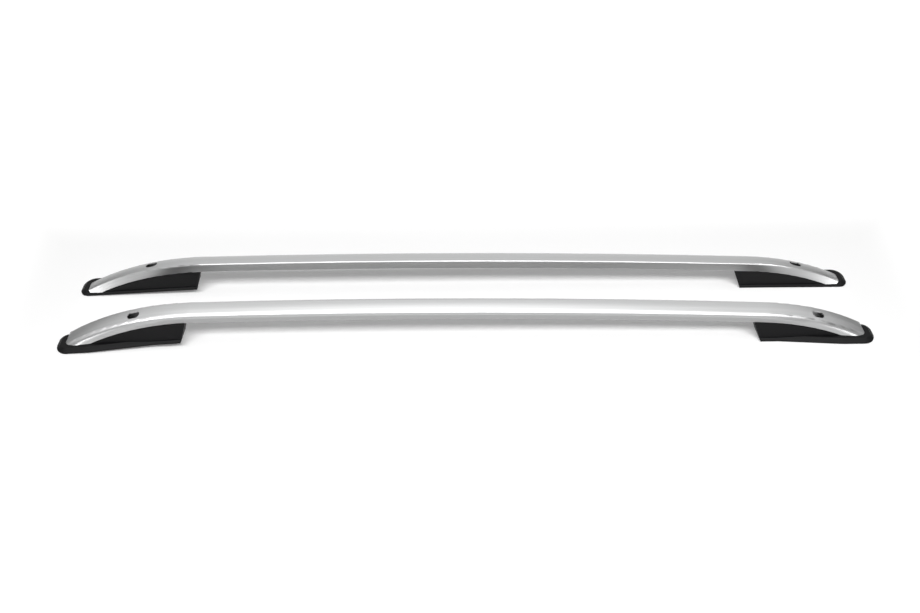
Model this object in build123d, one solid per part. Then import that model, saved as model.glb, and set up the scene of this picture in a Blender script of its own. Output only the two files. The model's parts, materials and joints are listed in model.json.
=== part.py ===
from build123d import *

import math
import os
from collections import namedtuple

# Roof side rail pair: two mirrored aluminium rails, bent down at both ends onto moulded feet.
# Frame: +X to the rear of the vehicle, +Y to its right, +Z up, origin on the ground under the middle.
# Each rail is modelled as the left one, with its line upright on Y = 0 and its outer side to -Y, over bases
# that slope as the roof does. It is then turned until its bases are level, moved to its side and mirrored.

# Layout of the pair
PAIR_LENGTH = 1800.0  # over the shoes, front to rear
RAIL_SPACING = 182.0  # between the planes of the two rails' lines, on the ground
ROOF_SLOPE = 5.0  # lean of those planes to the middle, square to a cambered roof, degrees

# Rail section
RAIL_WIDTH = 41.0
RAIL_DEPTH = 22.2  # flat top to flat underside
RAIL_WALL = 2.5
TOP_LEVEL = 18.5  # width of the level part of the top, from the inner side
TOP_FALL = 4.6  # fall of the top from there to the shoulder
TOP_RADIUS = 100.0  # soft crown between the two
SHOULDER_INSET = 5.5  # shoulder, in from the outer side
SHOULDER_RADIUS = 12.0  # soft edge along the outer side of the top
SIDE_DEPTH = 12.0  # widest line of the outer side, below the top
SIDE_RADIUS = 11.0
SIDE_UNDERCUT = 2.4  # outer side, drawn in from there to the lip
CREASE_RADIUS = 2.5  # crisp edge along the inner side of the top
UNDER_RADIUS = 2.0  # lower edge of the inner side
CAVITY_RADIUS = 1.0  # inside corners of the hollow
ROUNDING_SHARE = 0.995  # most of a side of the section that the roundings at its ends may take
LIP_DEPTH = 4.4  # drip lip of the outer wall, below the underside
LIP_THICKNESS = 1.6
LIP_RADIUS = 0.6

# Line of the rail, seen from the side
FRONT_RISE = 94.0  # ground to the top of the rail where the front bend starts
REAR_RISE = 74.5
FRONT_BEND = 300.0  # tip of the shoe to the start of the front bend
REAR_BEND = 245.0
CROWN = 11.0  # rise of the span over a straight line
TIP_SETBACK = 7.5  # tip of the shoe to where the top of the rail would run out
NOSE_SETBACK = 20.0  # tip of the shoe to the end wall of the rail
NOSE_LEAN = 15.0  # lean of that wall, degrees from upright
NOSE_ROUND = 14.0  # rounding between it and the top of the rail
NOSE_LEAVE = 2.5  # angle at which the cut for it leaves the top, degrees
NOSE_RADIUS_OUTER = 20.0  # its corners, in plan
NOSE_RADIUS_INNER = 12.0

# Feet
FRONT_TILT = 3.5  # slope of the front bases along the rail, degrees
FRONT_FOOT = 275.5  # length of a foot along its base
REAR_FOOT = 255.0
FRONT_SLANT = 22.5  # lean of the inner end face, degrees from upright
REAR_SLANT = 24.5
FIT = 0.25  # gap between pieces that seat in each other

# Foot housing
PANEL_WIDTH = 39.2  # across the side panels where they stand on the tray
PANEL_DRAFT = 0.6  # lean of the side panels, degrees
PANEL_CORNER = 3.0  # rounding between a side panel and the inner end face
HOUSING_WALL = 3.0
FIELD_DEPTH = 0.8  # sunk field in each side panel
FIELD_BORDER = 7.0  # frame left above and behind the field
TOE_HEIGHT = 4.0  # height of the housing at its thin end
RIB_PITCH = 30.0
RIB_THICKNESS = 2.2

# Base shoe
SHOE_OUTER = 22.5  # middle of the rail to the outer edge of the shoe
SHOE_INNER = 25.5
TOE_SWELL_OUTER = 11.0  # extra width round the tip
TOE_SWELL_INNER = 1.0
SWELL_START = 75.0  # tip of the shoe to the full swell
SWELL_END = 215.0
SWELL_RADIUS = 120.0
TOE_RADIUS_OUTER = 26.0  # corners of the tip, in plan
TOE_RADIUS_INNER = 20.0
SHOE_HEIGHT = 10.0  # base to the top of the rim
SHOE_EDGE = 3.3  # base to the top of the upright edge
RIM_SLOPE = 9.5  # width of the sloping face of the rim
TRAY_HEIGHT = 6.0  # base to the tray that rail and housing stand on

# Roof seal
SEAL_INSET = 5.0  # edge of the shoe to the edge of the seal
SEAL_THICKNESS = 2.5
SEAL_PROUD = 0.8  # part of the seal below the shoe

# Roof bolt: tool access, bore and steel sleeve
FRONT_BOLT = 184.0  # tip of the shoe to the axis of the bolt
REAR_BOLT = 132.5
ACCESS_LENGTH = 27.0
ACCESS_WIDTH = 17.0
BOLT_BORE = 9.0
SLEEVE_DIAMETER = 14.0
SLEEVE_BOSS = 20.0

# Foot screws
SCREW_OFFSETS = (-46.0, 50.0)  # along the foot from the bolt
SCREW_DIAMETER = 4.2
SCREW_HEAD = 8.4
SCREW_HEAD_HEIGHT = 3.0
SCREW_HEAD_BEVEL = 0.8
SCREW_SEAT = 5.0  # underside of the rail to the seat of the head
SCREW_REACH = 3.0  # through the wall of the rail into its hollow
SCREW_POINT = 2.0  # length of the tapered point
SCREW_TIP = 1.0  # diameter of its blunt end
SCREW_BOSS = 13.0
DRIVE_WIDTH = 4.0  # hexagon socket in the head
DRIVE_DEPTH = 1.8

# Room for cutting bodies, past everything that they cut
MARGIN = 60.0  # beside and ahead of a foot
REACH = 150.0  # above, below and behind it

End = namedtuple("End", "name upright base outer foot slant bolt")


def front_upright():
    """Frame of the front end: x inboard along the base from the tip, z up in the rail's own plane."""
    slope = math.radians(FRONT_TILT)
    along = (math.cos(slope), 0, math.sin(slope))
    upward = (-math.sin(slope), 0, math.cos(slope))
    return Plane((-PAIR_LENGTH / 2, 0, -SEAL_INSET * math.sin(slope)), x_dir=along, z_dir=upward)


def rear_upright():
    """Frame of the rear end, like that of the front but flat along the rail."""
    return Plane((PAIR_LENGTH / 2, 0, 0), x_dir=(-1, 0, 0), z_dir=(0, 0, 1))


def roof_plane(upright, outer):
    """Base of an end: its upright frame turned about x, so that it falls to the outer side."""
    slope = math.radians(ROOF_SLOPE)
    upward = upright.z_dir * math.cos(slope) + upright.y_dir * (outer * math.sin(slope))
    return Plane(upright.origin, x_dir=upright.x_dir, z_dir=upward)


def end_of_rail(name, upright, outer, foot, slant, bolt):
    """One end: outer is the sign of y on its outer side, foot, slant and bolt are sizes of its foot."""
    return End(name, upright, roof_plane(upright, outer), outer, foot, slant, bolt)


LIP_FACE = -RAIL_WIDTH / 2 + SIDE_UNDERCUT + LIP_THICKNESS  # inner face of the lip, in the section
FRONT = end_of_rail("front", front_upright(), -1, FRONT_FOOT, FRONT_SLANT, FRONT_BOLT)
REAR = end_of_rail("rear", rear_upright(), 1, REAR_FOOT, REAR_SLANT, REAR_BOLT)
ENDS = (FRONT, REAR)


def side_point(end, x, z):
    """Point of an end's upright frame in the side view."""
    point = end.upright.from_local_coords((x, 0, z))
    return (point.X, point.Z)


def rail_arcs():
    """Top line of the rail in the side view: front bend, crowned span and rear bend, all tangent."""
    front_start = (-PAIR_LENGTH / 2 + FRONT_BEND, FRONT_RISE)
    rear_start = (PAIR_LENGTH / 2 - REAR_BEND, REAR_RISE)
    span = SagittaArc(front_start, rear_start, CROWN)
    front_tip = side_point(FRONT, TIP_SETBACK, TRAY_HEIGHT)
    rear_tip = side_point(REAR, TIP_SETBACK, TRAY_HEIGHT)
    front_bend = TangentArc(front_start, front_tip, tangent=-(span % 0)).reversed()
    rear_bend = TangentArc(rear_start, rear_tip, tangent=span % 1)
    return front_bend, span, rear_bend


FRONT_ARC, SPAN_ARC, REAR_ARC = (Plane.XZ * arc for arc in rail_arcs())
RAIL_LINE = Wire([FRONT_ARC, SPAN_ARC, REAR_ARC])


def bend_circle(end):
    """Centre of an end's bend in the upright frame, and the radius of its top line."""
    arc = FRONT_ARC if end is FRONT else REAR_ARC
    return end.upright.to_local_coords(arc.arc_center), arc.radius


def rail_frame(end, x):
    """Plane on the top of the rail at x in the upright frame, z square to the rail, whose section is level."""
    centre, radius = bend_circle(end)
    top = Vector(x, 0, centre.Z + math.sqrt(radius**2 - (x - centre.X) ** 2))
    slope = math.radians(ROOF_SLOPE)
    across = (top - centre).normalized() * math.sin(slope) - Vector(0, end.outer * math.cos(slope), 0)
    upward = (top - centre).normalized() * math.cos(slope) + Vector(0, end.outer * math.sin(slope), 0)
    return Plane(top, x_dir=across, z_dir=upward)


def bend_reaches(end, depth, height):
    """x in the upright frame where the line that runs depth under the top of the rail is at that height."""
    centre, radius = bend_circle(end)
    return centre.X - math.sqrt((radius - depth) ** 2 - (height - centre.Z) ** 2)


def moved_out(corners, distance):
    """Corners of a section outline, listed anticlockwise, after all its sides have moved outwards."""
    moved = []
    for before, here, after in zip(corners[-1:] + corners[:-1], corners, corners[1:] + corners[:1]):
        here = Vector(*here)
        normal_in = (here - Vector(*before)).normalized().rotate(Axis.Z, -90)
        normal_out = (Vector(*after) - here).normalized().rotate(Axis.Z, -90)
        shift = (normal_in + normal_out) * (distance / (1 + normal_in.dot(normal_out)))
        moved.append((here.X + shift.X, here.Y + shift.Y))
    return moved


def rounded_face(corners, radii):
    """Face with rounded corners. Two roundings that need more than the side between them are made smaller."""
    points = [Vector(*corner) for corner in corners]
    sides = [after - here for here, after in zip(points, points[1:] + points[:1])]
    turns = [before.get_angle(after) for before, after in zip(sides[-1:] + sides[:-1], sides)]
    reaches = [radius * math.tan(math.radians(turn / 2)) for radius, turn in zip(radii, turns)]
    needs = [here + after for here, after in zip(reaches, reaches[1:] + reaches[:1])]
    rooms = [ROUNDING_SHARE * side.length for side in sides]
    shares = [room / max(room, need) for room, need in zip(rooms, needs)]
    fitting = [radius * min(pair) for radius, pair in zip(radii, zip(shares[-1:] + shares[:-1], shares))]
    return make_face(FilletPolyline(*corners, radius=fitting, close=True))


def upper_corners():
    """Corners of the section from its inner edge over the top to the widest line of the outer side."""
    half = RAIL_WIDTH / 2
    return [(half, 0), (half - TOP_LEVEL, 0), (-half + SHOULDER_INSET, -TOP_FALL), (-half, -SIDE_DEPTH)]


def outline(grow):
    """Outside of the rail section, grown on all sides: x to the inner side, y up from the top face."""
    lip_end = -RAIL_DEPTH - LIP_DEPTH
    corners = upper_corners() + [(LIP_FACE - LIP_THICKNESS, lip_end), (LIP_FACE, lip_end)]
    corners += [(LIP_FACE, -RAIL_DEPTH), (RAIL_WIDTH / 2, -RAIL_DEPTH)]
    radii = [CREASE_RADIUS + grow, TOP_RADIUS + grow, SHOULDER_RADIUS + grow, SIDE_RADIUS + grow]
    radii += [LIP_RADIUS, LIP_RADIUS, 0, UNDER_RADIUS + grow]
    return rounded_face(moved_out(corners, grow), radii)


def cavity():
    """Hollow of the rail section, one wall inside the outline."""
    side = SIDE_UNDERCUT * (RAIL_DEPTH - SIDE_DEPTH) / (RAIL_DEPTH + LIP_DEPTH - SIDE_DEPTH)
    corners = upper_corners() + [(-RAIL_WIDTH / 2 + side, -RAIL_DEPTH), (RAIL_WIDTH / 2, -RAIL_DEPTH)]
    radii = [CAVITY_RADIUS, TOP_RADIUS - RAIL_WALL, SHOULDER_RADIUS - RAIL_WALL, SIDE_RADIUS - RAIL_WALL]
    radii += [CAVITY_RADIUS, CAVITY_RADIUS]
    return rounded_face(moved_out(corners, -RAIL_WALL), radii)


def along_rail(section):
    """Section carried along the line of the rail, turned so that it is level over the sloping bases."""
    start = Plane(RAIL_LINE @ 0, x_dir=(0, 1, 0), z_dir=RAIL_LINE % 0)
    return sweep(start * Rot(0, 0, ROOF_SLOPE) * section, path=RAIL_LINE)


def over_rail(gap):
    """All that lies above the underside of the rail and outside its lip, less a gap."""
    lip_face = LIP_FACE + gap
    under = -RAIL_DEPTH - gap
    lip_end = under - LIP_DEPTH
    corners = [(-MARGIN, REACH), (MARGIN, REACH), (MARGIN, under), (lip_face, under)]
    corners += [(lip_face, lip_end), (-MARGIN, lip_end)]
    return along_rail(make_face(Polyline(*corners, close=True)))


def block(end, x_range, y_range, z_range):
    """Box between limits given in an end's base frame."""
    ranges = (x_range, y_range, z_range)
    size = [high - low for low, high in ranges]
    middle = [(high + low) / 2 for low, high in ranges]
    return end.base * Pos(*middle) * Box(*size)


def below_tray(end):
    """What is cut from the rail so that it stands on the tray."""
    return block(end, (-MARGIN, end.foot), (-MARGIN, MARGIN), (-REACH, TRAY_HEIGHT))


def outside_nose_corners(end, gap):
    """What is cut from the end of the rail to round it in plan."""
    tip = NOSE_SETBACK - gap
    # a little wider than the rail, whose inner side is not square to the base
    half = RAIL_WIDTH / 2 + FIT + gap
    inner = half + RAIL_DEPTH * math.sin(math.radians(ROOF_SLOPE))
    back = tip + max(NOSE_RADIUS_OUTER, NOSE_RADIUS_INNER)
    corners = [(back + MARGIN, half), (tip, half), (tip, -inner), (back + MARGIN, -inner)]
    places = [(x, end.outer * y) for x, y in corners]
    plan = make_face(FilletPolyline(*places, radius=[0, NOSE_RADIUS_OUTER, NOSE_RADIUS_INNER, 0], close=True))
    around = Pos((back - MARGIN) / 2, 0) * Rectangle(back + MARGIN, 2 * MARGIN)
    return end.upright * extrude(around - plan, REACH, both=True)


def ahead_of_nose(end, gap):
    """What is cut from the end of the rail to give it an end wall that rounds into its top."""
    centre, top_radius = bend_circle(end)
    lean = math.radians(NOSE_LEAN)
    up_wall = Vector(math.sin(lean), 0, math.cos(lean))
    inward = Vector(math.cos(lean), 0, -math.sin(lean))
    wall_foot = Vector(NOSE_SETBACK - gap, 0, TRAY_HEIGHT)
    radius = NOSE_ROUND + gap
    # the rounding's middle lies one radius behind the wall and one radius under the top
    behind = wall_foot + inward * radius - centre
    reach = top_radius + gap - radius
    rise = behind.dot(up_wall)
    middle = centre + behind + up_wall * (math.sqrt(rise**2 - behind.dot(behind) + reach**2) - rise)
    to_top = (middle - centre).normalized()
    on_wall = middle - inward * radius
    on_top = middle + to_top * radius
    on_round = middle + (to_top - inward).normalized() * radius
    # past the rounding the cut leaves the top at a slight angle
    leave = math.atan2(-to_top.X, to_top.Z) + math.radians(NOSE_LEAVE)
    above = on_top + Vector(math.cos(leave), 0, math.sin(leave)) * MARGIN
    corners = [on_top, above, Vector(above.X, 0, REACH), Vector(-MARGIN, 0, REACH), Vector(-MARGIN, 0, -REACH)]
    corners += [wall_foot - up_wall * MARGIN, on_wall]
    boundary = Polyline(*corners).edges() + [ThreePointArc(on_wall, on_round, on_top)]
    return end.base * extrude(make_face(boundary), MARGIN, both=True)


def rail_body(grow):
    """Outside of the rail, grown on all sides, standing on both trays."""
    body = along_rail(outline(grow))
    for end in ENDS:
        body -= below_tray(end)
        body -= outside_nose_corners(end, grow)
        body -= ahead_of_nose(end, grow)
    return body


def rail_hollow():
    """Hollow of the rail, closed one wall short of the tips."""
    body = along_rail(cavity())
    for end in ENDS:
        body -= outside_nose_corners(end, -RAIL_WALL)
        body -= ahead_of_nose(end, -RAIL_WALL)
    return body


def over_bolt(end):
    """Point on the top of the rail over the roof bolt, in the base frame."""
    top = rail_frame(end, end.bolt).origin
    return end.base.to_local_coords(end.upright.from_local_coords(top))


def on_bolt_axis(end, shape, height):
    """Shape placed on the axis of the roof bolt, square to the base, at a height over it."""
    top = over_bolt(end)
    return end.base * Pos(top.X, top.Y, height) * shape


def access_cut(end):
    """Tool access above the bolt, down to the middle of the hollow."""
    slot = extrude(SlotOverall(ACCESS_LENGTH, ACCESS_WIDTH), MARGIN)
    return on_bolt_axis(end, slot, over_bolt(end).Z - RAIL_DEPTH / 2)


def bolt_cut(end, diameter):
    """Bore on the axis of the bolt, from below the foot to the middle of the hollow."""
    bore = extrude(Circle(diameter / 2), over_bolt(end).Z - RAIL_DEPTH / 2 + MARGIN)
    return on_bolt_axis(end, bore, -MARGIN)


def screw_places(end):
    """Planes on the underside of the rail, one for each foot screw, z square to the rail."""
    for offset in SCREW_OFFSETS:
        yield end.upright * rail_frame(end, end.bolt + offset).offset(-RAIL_DEPTH).location


def screw_rod(diameter, low, high):
    """Rod on a screw's axis between two heights over the underside of the rail."""
    return Pos(0, 0, low) * extrude(Circle(diameter / 2), high - low)


def rail():
    """Bent hollow rail with its tool access, bolt holes and screw holes."""
    body = rail_body(0) - rail_hollow()
    for end in ENDS:
        body -= access_cut(end)
        body -= bolt_cut(end, BOLT_BORE)
        for place in screw_places(end):
            body -= place * screw_rod(SCREW_DIAMETER + 2 * FIT, -RAIL_WALL, 2 * RAIL_WALL)
    return body


def end_face(end, inset):
    """Plane of the slanted inner end face, moved towards the tip by an inset."""
    slant = math.radians(end.slant)
    away = Vector(math.cos(slant), 0, -math.sin(slant))
    plane = Plane((end.foot, 0, 0), x_dir=(0, 1, 0), z_dir=away).offset(-inset)
    return end.upright * plane.location


def cut_to_end_face(body, end, inset=0.0):
    """Body with all beyond the slanted inner end face cut away."""
    return split(body, bisect_by=Plane(end_face(end, inset)), keep=Keep.BOTTOM)


def round_end_corners(body, end):
    """Body with the two upright corners of its inner end face rounded."""
    wall = body.faces().sort_by(Axis(end.base.origin, end.base.x_dir))[-1]
    return fillet(wall.edges().sort_by(SortBy.LENGTH)[-2:], PANEL_CORNER)


def side_panel(end, side):
    """Plane of the side panel on one side, 1 or -1 in y, leaning in, z outwards."""
    lean = math.radians(PANEL_DRAFT)
    away = Vector(0, side * math.cos(lean), math.sin(lean))
    # the underside of the level section lies a little inwards of the plane of the rail's line
    middle = -end.outer * RAIL_DEPTH * math.sin(math.radians(ROOF_SLOPE))
    plane = Plane((0, middle + side * PANEL_WIDTH / 2, TRAY_HEIGHT), x_dir=(1, 0, 0), z_dir=away)
    return Plane(end.upright * plane.location)


def foot_wedge(end, grow, inset, gap, floor):
    """Wedge under the rail: side panels grown, end face inset, gap to the rail, floor over the base."""
    toe = bend_reaches(end, RAIL_DEPTH + FIT, TRAY_HEIGHT + TOE_HEIGHT)
    body = block(end, (toe, end.foot + REACH), (-MARGIN, MARGIN), (floor, REACH))
    for side in (1, -1):
        body = split(body, bisect_by=side_panel(end, side).offset(grow), keep=Keep.BOTTOM)
    body = round_end_corners(cut_to_end_face(body, end, inset), end)
    return body - over_rail(gap)


def panel_fields(end):
    """Sunk fields of both side panels, with a frame left round them."""
    wide = foot_wedge(end, HOUSING_WALL, FIELD_BORDER, FIELD_BORDER, TRAY_HEIGHT)
    return wide - foot_wedge(end, -FIELD_DEPTH, 0, FIT, TRAY_HEIGHT)


def housing_ribs(end):
    """Ribs across the foot on both sides of the bolt, and one along its middle."""
    side = (-MARGIN, MARGIN)
    height = (0, REACH)
    body = block(end, (0, end.foot + MARGIN), (-RIB_THICKNESS / 2, RIB_THICKNESS / 2), height)
    count = int(end.foot / RIB_PITCH)
    for step in range(-count, count + 1):
        middle = end.bolt + step * RIB_PITCH
        body += block(end, (middle - RIB_THICKNESS / 2, middle + RIB_THICKNESS / 2), side, height)
    return body


def housing(end):
    """Moulded foot housing: open below, ribbed, with bosses for the bolt sleeve and the screws."""
    body = foot_wedge(end, 0, 0, FIT, TRAY_HEIGHT)
    core = foot_wedge(end, -HOUSING_WALL, HOUSING_WALL, FIT + HOUSING_WALL, TRAY_HEIGHT)
    core -= housing_ribs(end)
    core -= bolt_cut(end, SLEEVE_BOSS)
    for place in screw_places(end):
        core -= place * screw_rod(SCREW_BOSS, -REACH, 0)
    body -= core
    body -= panel_fields(end)
    body -= bolt_cut(end, SLEEVE_DIAMETER + 2 * FIT)
    for place in screw_places(end):
        body -= place * screw_rod(SCREW_DIAMETER + 2 * FIT, -REACH, 0)
        body -= place * screw_rod(SCREW_HEAD + 2 * FIT, -REACH, -SCREW_SEAT)
    return body


def shoe_plan(end, inset, length):
    """Plan of the shoe in the base frame, less an inset, out to a length from the tip."""
    outer = SHOE_OUTER - inset
    inner = SHOE_INNER - inset
    toe_outer = outer + TOE_SWELL_OUTER
    toe_inner = inner + TOE_SWELL_INNER
    corners = [(length, outer), (SWELL_END, outer), (SWELL_START, toe_outer), (inset, toe_outer)]
    corners += [(inset, -toe_inner), (SWELL_START, -toe_inner), (SWELL_END, -inner), (length, -inner)]
    toe_radii = [TOE_RADIUS_OUTER - inset, TOE_RADIUS_INNER - inset]
    radii = [0, SWELL_RADIUS, SWELL_RADIUS, *toe_radii, SWELL_RADIUS, SWELL_RADIUS, 0]
    # taken backwards where the outer side is at -y, so that the plan always faces up
    places = [(x, end.outer * y) for x, y in corners][:: end.outer]
    return make_face(FilletPolyline(*places, radius=radii[:: end.outer], close=True))


def shoe(end):
    """Flared base shoe: a tray for rail and housing with a sloping rim round the tip."""
    plan = shoe_plan(end, 0, end.foot + MARGIN)
    edge = Pos(0, 0, SEAL_PROUD) * extrude(plan, SHOE_EDGE - SEAL_PROUD)
    rise = SHOE_HEIGHT - SHOE_EDGE
    rim = Pos(0, 0, SHOE_EDGE) * extrude(plan, rise, taper=math.degrees(math.atan2(RIM_SLOPE, rise)))
    body = cut_to_end_face(end.base * (edge + rim), end)
    body -= rail_body(FIT)
    body -= foot_wedge(end, FIT, -FIT, 0, TRAY_HEIGHT)
    body -= end.base * extrude(shoe_plan(end, SEAL_INSET - FIT, end.foot - SEAL_INSET + FIT), SEAL_THICKNESS)
    return body - bolt_cut(end, SLEEVE_DIAMETER + 2 * FIT)


def seal(end):
    """Foam pad let into the underside of the shoe."""
    pad = end.base * extrude(shoe_plan(end, SEAL_INSET, end.foot - SEAL_INSET), SEAL_THICKNESS)
    return pad - bolt_cut(end, SLEEVE_DIAMETER + 2 * FIT)


def sleeve(end):
    """Steel tube between the roof and the underside of the rail."""
    tube = Circle(SLEEVE_DIAMETER / 2) - Circle(BOLT_BORE / 2)
    return on_bolt_axis(end, extrude(tube, REACH), 0) - over_rail(0)


def screw():
    """Pan-head self-tapping screw, seat of the head at SCREW_SEAT under the rail."""
    tip = RAIL_WALL + SCREW_REACH
    shank = screw_rod(SCREW_DIAMETER, -SCREW_SEAT, tip)
    point = Pos(0, 0, tip + SCREW_POINT / 2) * Cone(SCREW_DIAMETER / 2, SCREW_TIP / 2, SCREW_POINT)
    head = screw_rod(SCREW_HEAD, -SCREW_SEAT - SCREW_HEAD_HEIGHT, -SCREW_SEAT)
    head = chamfer(head.edges().group_by(Axis.Z)[0], SCREW_HEAD_BEVEL)
    drive = extrude(RegularPolygon(DRIVE_WIDTH / 2, 6, major_radius=False), DRIVE_DEPTH)
    return shank + point + head - Pos(0, 0, -SCREW_SEAT - SCREW_HEAD_HEIGHT) * drive


def screws(end):
    """The two screws of one foot."""
    return Compound([place * screw() for place in screw_places(end)])


PIECES = {"rail": rail()}
for end in ENDS:
    PIECES[f"{end.name}_foot_housing"] = housing(end)
    PIECES[f"{end.name}_base_shoe"] = shoe(end)
    PIECES[f"{end.name}_roof_seal"] = seal(end)
    PIECES[f"{end.name}_bolt_sleeve"] = sleeve(end)
    PIECES[f"{end.name}_foot_screws"] = screws(end)

os.makedirs("parts", exist_ok=True)
for name, piece in PIECES.items():
    right = mirror(Pos(0, -RAIL_SPACING / 2, 0) * Rot(-ROOF_SLOPE, 0, 0) * piece, about=Plane.XZ)
    export_step(right, f"parts/right_{name}.step")
    # the left piece is written as a mirror image too: its wide cones then come back from the file unspoilt
    export_step(mirror(right, about=Plane.XZ), f"parts/left_{name}.step")
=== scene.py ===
# %% [markdown]
# A pair of roof side rails: two satin aluminium rails, bent down at both ends onto black moulded
# feet. The frame below brings in the solids at their real size and place. This lesson gives them
# their finish, a studio to stand in, and a camera.

# %% Load the frame
import json
import math

import bpy
import numpy as np
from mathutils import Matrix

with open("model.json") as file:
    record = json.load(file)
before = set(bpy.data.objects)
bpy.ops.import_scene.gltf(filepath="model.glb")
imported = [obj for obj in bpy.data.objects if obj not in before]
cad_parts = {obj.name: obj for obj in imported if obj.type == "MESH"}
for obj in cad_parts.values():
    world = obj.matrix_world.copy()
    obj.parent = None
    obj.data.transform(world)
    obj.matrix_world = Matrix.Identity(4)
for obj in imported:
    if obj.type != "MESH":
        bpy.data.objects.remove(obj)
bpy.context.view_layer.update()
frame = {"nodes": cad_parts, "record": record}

# %% [markdown]
# The camera stands in front of the left rail and looks down on the pair at a steep angle, with a
# moderate wide-angle lens, so that the far rail looks shorter. A camera can also be made to track
# a target, but its angles are known here: they were worked out from the outlines of the rails. The
# lens and the pitch set how much shorter the far rail looks, and the small turn to the right sets
# how the ends line up.

# %% Camera
CAMERA_PLACE = (-0.0436, -1.4989, 1.3951)  # metres
CAMERA_PITCH = 42.68  # degrees below the horizon
CAMERA_TURN = 1.076  # degrees to the right of +Y
LENS = 35.0  # mm
SENSOR_WIDTH = 36.0  # mm
FAR_LIMIT = 50.0  # metres, beyond which nothing is drawn


def add_camera():
    """Camera with its place, pitch and turn given above."""
    data = bpy.data.cameras.new("camera")
    data.sensor_fit = "HORIZONTAL"
    data.sensor_width = SENSOR_WIDTH
    data.lens = LENS
    data.clip_end = FAR_LIMIT
    camera = bpy.data.objects.new("camera", data)
    camera.location = CAMERA_PLACE
    camera.rotation_euler = (math.radians(90 - CAMERA_PITCH), 0, math.radians(-CAMERA_TURN))
    bpy.context.scene.collection.objects.link(camera)
    return camera


bpy.context.scene.camera = add_camera()
bpy.context.scene.view_settings.view_transform = "Standard"
print("camera at", CAMERA_PLACE)

# %% [markdown]
# Materials are node trees. They could be drawn by hand in the shader editor, but in code they can
# be read, changed and built again. These helpers keep that code short. The first adds a node and
# sets its inputs: an input given as a socket is joined, any other value is set. The others make
# what comes back often: sums, soft steps, noise and the place of a point.

# %% Node helpers


def add_node(tree, kind, inputs=None, **settings):
    """Node of a kind, with settings as attributes and inputs by name or number."""
    node = tree.nodes.new(kind)
    for name, value in settings.items():
        setattr(node, name, value)
    for key, value in (inputs or {}).items():
        if isinstance(value, bpy.types.NodeSocket):
            tree.links.new(value, node.inputs[key])
        else:
            node.inputs[key].default_value = value
    return node


def math_node(tree, operation, *values):
    """Output of a Math node on one to three values or sockets."""
    return add_node(tree, "ShaderNodeMath", dict(enumerate(values)), operation=operation).outputs[0]


def ramp(tree, value, span, ends=(0.0, 1.0), kind="LINEAR"):
    """Goes from one end to the other while the value crosses the span, and holds beyond it."""
    inputs = dict(enumerate((value, *span, *ends)))
    return add_node(tree, "ShaderNodeMapRange", inputs, interpolation_type=kind).outputs[0]


def soft_ramp(tree, value, span, ends):
    """Ramp that starts and ends gently."""
    return ramp(tree, value, span, ends, "SMOOTHSTEP")


def noise(tree, place, scale, detail):
    """Noise about one half, from 0 to 1, with that many features to a metre."""
    inputs = {"Vector": place, "Scale": scale, "Detail": detail}
    return add_node(tree, "ShaderNodeTexNoise", inputs).outputs[0]


def object_place(tree):
    """x, y and z of a point in Object coordinates."""
    place = add_node(tree, "ShaderNodeTexCoord").outputs["Object"]
    return add_node(tree, "ShaderNodeSeparateXYZ", {0: place}).outputs


def new_material(name):
    """Empty node material, its tree and its output node."""
    material = bpy.data.materials.new(name)
    material.use_nodes = True
    tree = material.node_tree
    tree.nodes.clear()
    return material, tree, add_node(tree, "ShaderNodeOutputMaterial")


# %% [markdown]
# The studio is white. A picture of a studio could light it, but a plain world needs no file. It is
# white for the rays that show it, in the view and in mirrors. For all other rays it is only a
# faint fill, so that the lamps further down decide how bright things are.

# %% White world
WORLD_LIGHT = 0.06  # the fill, where white is 1


def seen_rays(tree):
    """1 for rays that show the background: camera, mirror and glass rays. 0 for rays that light."""
    path = add_node(tree, "ShaderNodeLightPath")
    seen = math_node(tree, "MAXIMUM", path.outputs["Is Camera Ray"], path.outputs["Is Glossy Ray"])
    return math_node(tree, "MAXIMUM", seen, path.outputs["Is Transmission Ray"])


def white_world():
    """World that is white where it is seen, and a plain soft light elsewhere."""
    world = bpy.data.worlds.new("white_world")
    world.use_nodes = True
    tree = world.node_tree
    tree.nodes.clear()
    strength = ramp(tree, seen_rays(tree), (0.0, 1.0), (WORLD_LIGHT, 1.0))
    inputs = {"Color": (1, 1, 1, 1), "Strength": strength}
    background = add_node(tree, "ShaderNodeBackground", inputs)
    add_node(tree, "ShaderNodeOutputWorld", {"Surface": background.outputs[0]})
    return world


bpy.context.scene.world = white_world()
print("world:", bpy.context.scene.world.name)

# %% [markdown]
# The floor is pale, and keeps the soft shadow of the rails. Close to them it is nearly plain, so
# that the shadow shows. Further out it glows more, until it can't be told from the world, and so it
# has no edge. A curved backdrop would hide the edge too, but it would show in the metal. Mirror
# rays see the same floor as the camera does.

# %% Floor
FLOOR_SIZE = (13.0, 13.0)
FLOOR_POINTS = 9  # along each side
FLOOR_DROP = 0.0003  # floor below the seals, so that the two don't fight
FLOOR_COLOUR = (0.82, 0.82, 0.82, 1)
FLOOR_LIFT = 0.185  # glow by the rails, where white is 1
FLOOR_NEAR = (0.98, 0.24)  # half the length and width of the plain part
FLOOR_FADE = 0.5  # from there to the full glow


def floor_lift(tree):
    """Glow where it is seen: FLOOR_LIFT by the rails, rising to white outside the plain part."""
    x, y, _ = object_place(tree)
    beyond = [math_node(tree, "SUBTRACT", math_node(tree, "ABSOLUTE", place), half)
              for place, half in zip((x, y), FLOOR_NEAR)]
    distance = math_node(tree, "MAXIMUM", *beyond)
    rise = soft_ramp(tree, distance, (0.0, FLOOR_FADE), (FLOOR_LIFT, 1.0))
    return math_node(tree, "MULTIPLY", seen_rays(tree), rise)


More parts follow.
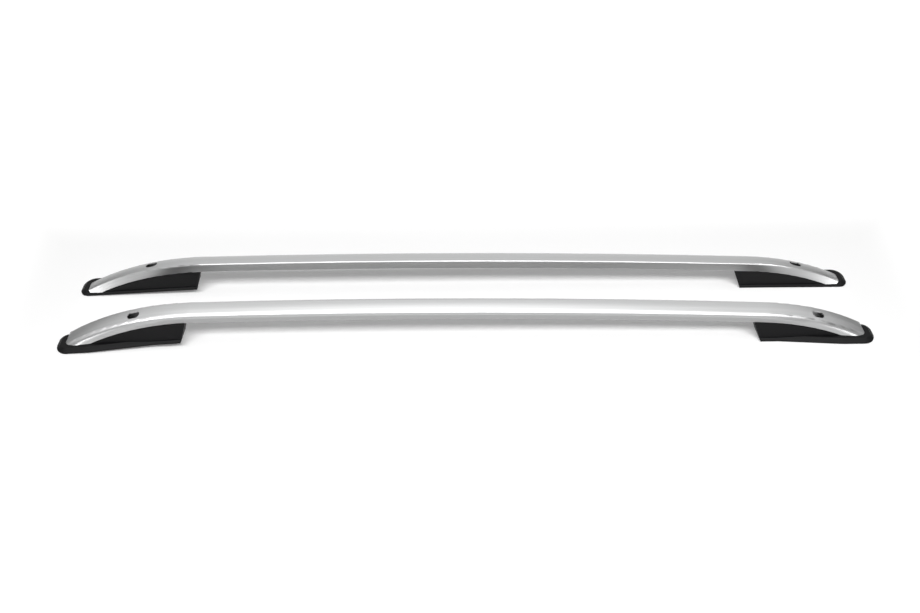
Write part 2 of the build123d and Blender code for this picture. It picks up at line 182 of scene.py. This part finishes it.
def floor_material():
    """Pale matt floor, lifted where it is seen, so that it reaches the white of the world."""
    material, tree, output = new_material("studio_floor")
    diffuse = add_node(tree, "ShaderNodeBsdfDiffuse", {"Color": FLOOR_COLOUR})
    glow = add_node(tree, "ShaderNodeEmission", {"Strength": floor_lift(tree)})
    both = add_node(tree, "ShaderNodeAddShader", {0: diffuse.outputs[0], 1: glow.outputs[0]})
    tree.links.new(both.outputs[0], output.inputs["Surface"])
    return material


def grid_object(name, points):
    """Mesh object from points in rows by columns by xyz, with quads between neighbours."""
    rows, columns = points.shape[:2]
    index = np.arange(rows * columns).reshape(rows, columns)
    corners = [index[:-1, :-1], index[1:, :-1], index[1:, 1:], index[:-1, 1:]]
    mesh = bpy.data.meshes.new(name)
    mesh.from_pydata(points.reshape(-1, 3), [], np.stack(corners, axis=-1).reshape(-1, 4).tolist())
    thing = bpy.data.objects.new(name, mesh)
    bpy.context.scene.collection.objects.link(thing)
    return thing


def studio_floor():
    """Flat rectangle under the rails: x and y run over the floor's sides, z is constant."""
    sides = [np.linspace(-side / 2, side / 2, FLOOR_POINTS) for side in FLOOR_SIZE]
    x, y = np.meshgrid(*sides, indexing="ij")
    thing = grid_object("studio_floor", np.stack([x, y, np.full_like(x, -FLOOR_DROP)], axis=-1))
    thing.data.materials.append(floor_material())
    return thing


print("floor:", [round(v, 2) for v in studio_floor().dimensions])

# %% [markdown]
# Metal looks like metal by what it mirrors. The rails stand in a light tent, a half dome that only
# mirror rays see. A picture round the world could do the same, but a dome can be shaped with a few
# values. It grows bright with height, up to where the level spans look, and is brightest at the
# top, which the near rail's crown mirrors. Behind and in front, its foot is bright too. To the left
# and right the foot stays dark: that is where the bends look, and so they darken towards the tips.

# %% Light tent
TENT_RADIUS = 7.0
TENT_POINTS = (97, 25)  # round it, and from the floor up
TENT_CLOSES = 89.5  # degrees above the floor where the dome ends
TENT_RISE = (0.3, 4.6)  # heights between which it goes from dark to bright
TENT_DARK = 0.05  # brightness, where white is 1
TENT_BRIGHT = 1.36
TENT_BACK = (3.8, 6.8)  # y between which the foot gets bright behind the rails
TENT_FORE = (-2.5, -6.5)  # and in front of them
TENT_TOP = (5.95, 6.95)  # heights between which it gets brighter still
TENT_EXTRA = 3.2  # brightness added there
TENT_DIMMED = (-3.9, 0.8)  # y between which the dimmer front ends
TENT_FRONT_SHARE = 0.85  # of the brightness is left in front


def tent_material():
    """Glow by height and depth: the brightest of three rises, more at the top, less in front."""
    material, tree, output = new_material("light_tent")
    _, y, z = object_place(tree)
    rise = soft_ramp(tree, z, TENT_RISE, (TENT_DARK, TENT_BRIGHT))
    back = soft_ramp(tree, y, TENT_BACK, (0.0, TENT_BRIGHT))
    fore = soft_ramp(tree, y, TENT_FORE, (0.0, TENT_BRIGHT))
    extra = soft_ramp(tree, z, TENT_TOP, (0.0, TENT_EXTRA))
    share = soft_ramp(tree, y, TENT_DIMMED, (TENT_FRONT_SHARE, 1.0))
    around = math_node(tree, "MAXIMUM", rise, math_node(tree, "MAXIMUM", back, fore))
    strength = math_node(tree, "MULTIPLY", math_node(tree, "ADD", around, extra), share)
    glow = add_node(tree, "ShaderNodeEmission", {"Strength": strength})
    tree.links.new(glow.outputs[0], output.inputs["Surface"])
    return material


def light_tent():
    """Half dome: one angle runs round the upright axis, one up from the floor, at one radius."""
    turn = np.radians(np.linspace(0, 360, TENT_POINTS[0]))[:, None]
    climb = np.radians(np.linspace(0, TENT_CLOSES, TENT_POINTS[1]))[None, :]
    points = [np.cos(turn) * np.cos(climb), np.sin(turn) * np.cos(climb), np.sin(climb) + 0 * turn]
    thing = grid_object("light_tent", TENT_RADIUS * np.stack(points, axis=-1))
    thing.data.materials.append(tent_material())
    thing.visible_camera = thing.visible_diffuse = thing.visible_shadow = False
    return thing


print("tent:", [round(v, 2) for v in light_tent().dimensions])

# %% [markdown]
# Two wide lamps light the feet and the floor, and cast the shadows. From small ones the shadows
# would have hard edges. The front lamp's shadows fall to the back, and the rounded shoulders mirror
# it as a bright band. The overhead lamp only softens the shadows. It isn't mirrored, because it is
# dimmer than the tent behind it and would show as a dark patch.

# %% Lamps
LAMPS = {
    # turn is about X in degrees, size in x and y, brightness where white is 1
    "overhead_lamp": dict(place=(0.0, 0.2, 4.6), turn=0.0, size=(6.8, 2.7), brightness=0.5,
                          mirrored=False),
    "front_lamp": dict(place=(0.0, -2.94, 4.53), turn=33.0, size=(7.4, 1.35), brightness=12.0,
                       mirrored=True)}


def add_lamp(name, place, turn, size, brightness, mirrored):
    """Area lamp whose face shines with a brightness: power is brightness times area times pi."""
    data = bpy.data.lights.new(name, "AREA")
    data.shape = "RECTANGLE"
    data.size, data.size_y = size
    data.energy = brightness * size[0] * size[1] * math.pi
    lamp = bpy.data.objects.new(name, data)
    lamp.location = place
    lamp.rotation_euler = (math.radians(turn), 0, 0)
    lamp.visible_camera = False
    lamp.visible_glossy = mirrored
    bpy.context.scene.collection.objects.link(lamp)
    print(name, round(data.energy, 1), "W")


for lamp_name, lamp_facts in LAMPS.items():
    add_lamp(lamp_name, **lamp_facts)

# %% [markdown]
# An extrusion carries fine lines from the die, and they follow it round the bends. So the pattern
# needs coordinates of the rail: along it, across it, and down from its top line. A UV map could
# hold them, but the solids come without one. The rail leans over the roof's slope and is bent in
# its own plane only, along three arcs that meet smoothly. So its coordinates can be worked out from
# Object coordinates: turn the point upright, and take its distance from the middle of its arc.

# %% Coordinates of a rail
RAIL_HALF_SPACING = 0.091  # middle of the pair to the foot of a rail's own plane
ROOF_SLOPE = 5.0  # lean of the rails, degrees
RAIL_ARCS = {
    # x and height of the middle, and the radius
    "front": (-0.588892, -0.475123, 0.569231),
    "span": (-0.250545, -17.8104, 17.907832),
    "rear": (0.627612, -0.466434, 0.541627)}
SPAN_STARTS, REAR_STARTS = -0.6, 0.655  # x where these arcs take over


def depth_below_arc(tree, x, height, arc):
    """Radius of an arc less the distance from its middle."""
    aside = math_node(tree, "SUBTRACT", x, arc[0])
    above = math_node(tree, "SUBTRACT", height, arc[1])
    above_squared = math_node(tree, "MULTIPLY", above, above)
    squares = math_node(tree, "MULTIPLY_ADD", aside, aside, above_squared)
    return math_node(tree, "SUBTRACT", arc[2], math_node(tree, "SQRT", squares))


def choose(tree, mask, zero, one):
    """zero where the mask is 0, one where it is 1."""
    change = math_node(tree, "SUBTRACT", one, zero)
    return math_node(tree, "MULTIPLY_ADD", mask, change, zero)


def rail_coordinates_group():
    """Place on a rail: along it, across it and depth below its top line, in metres."""
    group = bpy.data.node_groups.new("rail_coordinates", "ShaderNodeTree")
    for name in ("Along", "Across", "Depth"):
        group.interface.new_socket(name, in_out="OUTPUT", socket_type="NodeSocketFloat")
    x, y, z = object_place(group)
    slope = math.radians(ROOF_SLOPE)
    inward = math_node(group, "SUBTRACT", RAIL_HALF_SPACING, math_node(group, "ABSOLUTE", y))
    level = math_node(group, "MULTIPLY", inward, math.cos(slope))
    across = math_node(group, "MULTIPLY_ADD", z, -math.sin(slope), level)
    lean = math_node(group, "MULTIPLY", inward, math.sin(slope))
    height = math_node(group, "MULTIPLY_ADD", z, math.cos(slope), lean)
    front, span, rear = [depth_below_arc(group, x, height, arc) for arc in RAIL_ARCS.values()]
    past_front = math_node(group, "GREATER_THAN", x, SPAN_STARTS)
    past_span = math_node(group, "GREATER_THAN", x, REAR_STARTS)
    depth = choose(group, past_span, choose(group, past_front, front, span), rear)
    add_node(group, "NodeGroupOutput", {"Along": x, "Across": across, "Depth": depth})
    return group


RAIL_COORDINATES = rail_coordinates_group()
print("group:", RAIL_COORDINATES.name)

# %% [markdown]
# On the real rails the sides of the tips shine, while those of the spans are grey. Why isn't known,
# so the solid keeps its upright sides. To get the same shine, the metal only tilts the normal that
# it mirrors with, more so towards the tip. A lamp at each end could light them too, but it would
# light the feet as well. The rounded shoulder is bright already, and keeps its own normal.

# %% Shine on the sides of the tips
TIP_REACH = (0.62, 0.875)  # distance from the middle, from the first tilt to the full one
TIP_TILT = 1.0  # the full tilt, as a slope
TIP_SIDES = (0.88, 0.98)  # how far a normal points sideways, from no tilt to all of it


def tip_normal(tree, along):
    """Normal of the surface, tilted upwards on the sides of the tips."""
    normal = add_node(tree, "ShaderNodeNewGeometry").outputs["Normal"]
    sideways = add_node(tree, "ShaderNodeSeparateXYZ", {0: normal}).outputs["Y"]
    side = soft_ramp(tree, math_node(tree, "ABSOLUTE", sideways), TIP_SIDES, (0.0, 1.0))
    near_tip = ramp(tree, math_node(tree, "ABSOLUTE", along), TIP_REACH)
    tilt = math_node(tree, "MULTIPLY", math_node(tree, "MULTIPLY", side, near_tip), TIP_TILT)
    up = add_node(tree, "ShaderNodeCombineXYZ", {"Z": tilt}).outputs[0]
    tilted = add_node(tree, "ShaderNodeVectorMath", {0: normal, 1: up}, operation="ADD").outputs[0]
    return add_node(tree, "ShaderNodeVectorMath", {0: tilted}, operation="NORMALIZE").outputs[0]


print("tips shine from", TIP_REACH[0], "m")

# %% [markdown]
# The rails are drawn aluminium, etched and anodised to a satin grey. Two noises on the rail's
# coordinates make the lines, both stretched far along the rail: fine ones for the bump, and broader
# streaks that change the gloss and the grey a little. A metal of middling roughness then spreads
# the tent and the lamp into soft bands. Anisotropic gloss could give long streaks too, but it needs
# a direction at every point, which the solids come without.

# %% Satin aluminium
RAIL_COLOUR = (0.380, 0.382, 0.383)
RAIL_ROUGHNESS = 0.36
LINE_STRETCH = 0.006  # a metre along the rail counts as this much across it
LINE_SCALE = 2400.0  # lines to a metre
LINE_BUMP = (0.06, 0.0001)  # strength, and depth in metres
STREAK_SCALE = 330.0  # streaks to a metre
STREAK_RANGE = (0.3, 0.7)  # most of the noise lies between these
STREAK_GLOSS = 0.04  # change of roughness, up and down
STREAK_GREY = 0.03  # change of colour, as a share
DRAWN_DETAIL = 2.0


def satin_aluminium():
    """Metal with fine lines and broad streaks along the rail."""
    material, tree, output = new_material("rail_metal")
    rail = add_node(tree, "ShaderNodeGroup", node_tree=RAIL_COORDINATES).outputs
    along = math_node(tree, "MULTIPLY", rail["Along"], LINE_STRETCH)
    drawn = add_node(tree, "ShaderNodeCombineXYZ", {0: along, 1: rail["Across"], 2: rail["Depth"]})
    lines = noise(tree, drawn.outputs[0], LINE_SCALE, DRAWN_DETAIL)
    streaks = noise(tree, drawn.outputs[0], STREAK_SCALE, DRAWN_DETAIL)
    roughness = ramp(tree, streaks, STREAK_RANGE,
                     (RAIL_ROUGHNESS - STREAK_GLOSS, RAIL_ROUGHNESS + STREAK_GLOSS))
    grey = ramp(tree, streaks, STREAK_RANGE, (1 - STREAK_GREY, 1 + STREAK_GREY))
    colour = add_node(tree, "ShaderNodeVectorMath", {0: RAIL_COLOUR, "Scale": grey},
                      operation="SCALE")
    normal = add_node(tree, "ShaderNodeBump", {
        "Strength": LINE_BUMP[0], "Distance": LINE_BUMP[1], "Height": lines,
        "Normal": tip_normal(tree, rail["Along"])})
    shader = add_node(tree, "ShaderNodeBsdfPrincipled", {
        "Base Color": colour.outputs[0], "Metallic": 1.0, "Roughness": roughness,
        "Normal": normal.outputs[0]})
    tree.links.new(shader.outputs[0], output.inputs["Surface"])
    return material


MATERIALS = {"rail_metal": satin_aluminium()}
print("finish:", MATERIALS["rail_metal"].name)

# %% [markdown]
# The feet are black plastic from a spark-eroded mould: an even, very fine grain that takes the
# shine off. Foam and plated steel have grain too, each with its own scale and depth. Pictures of
# grain could be wrapped round the pieces, but noise needs no file and shows no seam. One group
# makes it for all of them.

# %% Grain group
GRAIN_DETAIL = 3.0
MOTTLE_SCALE = 18.0  # patches to a metre
MOTTLE_DETAIL = 2.0
NOISE_MIDDLE = 0.5  # taken off, so that the mottle lies about 0


def grain_group():
    """Noise on stretched Object coordinates: height for a bump, and a soft mottle about 0."""
    group = bpy.data.node_groups.new("surface_grain", "ShaderNodeTree")
    for name in ("Stretch Z", "Scale"):
        group.interface.new_socket(name, in_out="INPUT", socket_type="NodeSocketFloat")
    for name in ("Height", "Mottle"):
        group.interface.new_socket(name, in_out="OUTPUT", socket_type="NodeSocketFloat")
    entry = add_node(group, "NodeGroupInput").outputs
    place = add_node(group, "ShaderNodeTexCoord").outputs["Object"]
    factors = add_node(group, "ShaderNodeCombineXYZ", {0: 1.0, 1: 1.0, 2: entry["Stretch Z"]})
    stretched = add_node(group, "ShaderNodeVectorMath", {0: place, 1: factors.outputs[0]},
                         operation="MULTIPLY")
    height = noise(group, stretched.outputs[0], entry["Scale"], GRAIN_DETAIL)
    broad = noise(group, place, MOTTLE_SCALE, MOTTLE_DETAIL)
    mottle = math_node(group, "SUBTRACT", broad, NOISE_MIDDLE)
    add_node(group, "NodeGroupOutput", {"Height": height, "Mottle": mottle})
    return group


GRAIN = grain_group()
print("group:", GRAIN.name)

# %% [markdown]
# Side panels and shoes are the same black plastic, and the shoes have a coarser grain. The seals
# are soft black foam. Sleeves and screws are zinc-plated steel, with the grain stretched along the
# upright axis, as drawing leaves it. Each finish could be a tree of its own, but they differ only
# in values, so one function makes them all.

# %% Plastics, foam and plated steel
GRAIN_RANGE = (0.25, 0.75)  # most of the grain's height lies between these


def grained_material(name, colour, metallic, gloss, roughness, scale, stretch, bump, mottle):
    """Grained skin. Roughness is a middle value and a spread, bump a strength and a depth."""
    material, tree, output = new_material(name)
    values = {"Stretch Z": stretch, "Scale": scale}
    grain = add_node(tree, "ShaderNodeGroup", values, node_tree=GRAIN).outputs
    height = grain["Height"]
    middle, spread = roughness
    rough = ramp(tree, height, GRAIN_RANGE, (middle - spread, middle + spread))
    normal = add_node(tree, "ShaderNodeBump", {
        "Strength": bump[0], "Distance": bump[1], "Height": height})
    factor = math_node(tree, "MULTIPLY_ADD", grain["Mottle"], mottle, 1.0)
    shaded = add_node(tree, "ShaderNodeVectorMath", {0: colour, "Scale": factor}, operation="SCALE")
    shader = add_node(tree, "ShaderNodeBsdfPrincipled", {
        "Base Color": shaded.outputs[0], "Metallic": metallic, "Specular IOR Level": gloss,
        "Roughness": rough, "Normal": normal.outputs[0]})
    tree.links.new(shader.outputs[0], output.inputs["Surface"])
    return material


FINISHES = {
    "foot_plastic": dict(
        colour=(0.0045, 0.0045, 0.005), metallic=0.0, gloss=0.12, roughness=(0.46, 0.05),
        scale=900.0, stretch=1.0, bump=(0.25, 0.0002), mottle=0.25),
    "shoe_plastic": dict(
        colour=(0.0036, 0.0036, 0.0039), metallic=0.0, gloss=0.09, roughness=(0.5, 0.06),
        scale=700.0, stretch=1.0, bump=(0.35, 0.0003), mottle=0.25),
    "seal_foam": dict(
        colour=(0.02, 0.02, 0.02), metallic=0.0, gloss=0.1, roughness=(0.9, 0.05),
        scale=500.0, stretch=1.0, bump=(0.6, 0.0005), mottle=0.3),
    "sleeve_steel": dict(
        colour=(0.60, 0.60, 0.57), metallic=1.0, gloss=0.5, roughness=(0.35, 0.08),
        scale=900.0, stretch=0.03, bump=(0.15, 0.0001), mottle=0.15),
    "screw_steel": dict(
        colour=(0.58, 0.58, 0.55), metallic=1.0, gloss=0.5, roughness=(0.35, 0.08),
        scale=900.0, stretch=0.1, bump=(0.15, 0.0001), mottle=0.15)}
MATERIALS.update({name: grained_material(name, **facts) for name, facts in FINISHES.items()})
print("finishes:", len(MATERIALS))

# %% [markdown]
# The record that comes with the frame says which finish each piece has. A list of pieces here would
# do too, but it could fall out of step with the solids.

# %% Finishes onto the pieces
for subpart in frame["record"]["subparts"]:
    node = frame["nodes"][subpart["node"]]
    node.data.materials.clear()
    node.data.materials.append(MATERIALS[subpart["material_slot"]])
